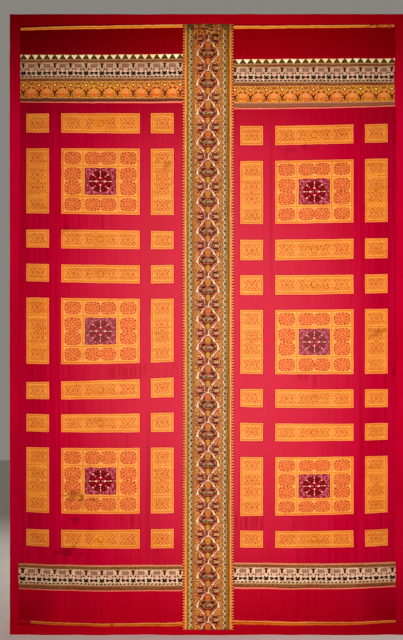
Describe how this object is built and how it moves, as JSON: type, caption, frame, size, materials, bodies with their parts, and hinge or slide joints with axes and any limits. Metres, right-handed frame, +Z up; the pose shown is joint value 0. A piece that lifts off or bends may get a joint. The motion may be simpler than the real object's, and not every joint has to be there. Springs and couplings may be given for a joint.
{
  "type": "hung silk curtain on a backing cloth",
  "caption": "Flat-hung silk curtain: wide red panels with gold blocks and figured bands, joined by a narrow figured band, on a red backing cloth.",
  "frame": {"origin": "middle of the backing cloth's top edge, where the curtain is held", "axes": "+Z up, so the curtain hangs towards -Z; the woven face looks along -Y; +X to the viewer's right"},
  "size_m": [2.87, 0.0267, 4.5],
  "materials": {
    "red_silk": "crimson silk satin with gold and cream woven figures",
    "figured_silk": "many-coloured figured silk, worn at the top",
    "red_backing": "plain matt red cloth"
  },
  "bodies": {
    "root": {"panel_left": "red_silk", "panel_right": "red_silk", "centre_band": "figured_silk", "backing_cloth": "red_backing"}
  },
  "joints": []
}
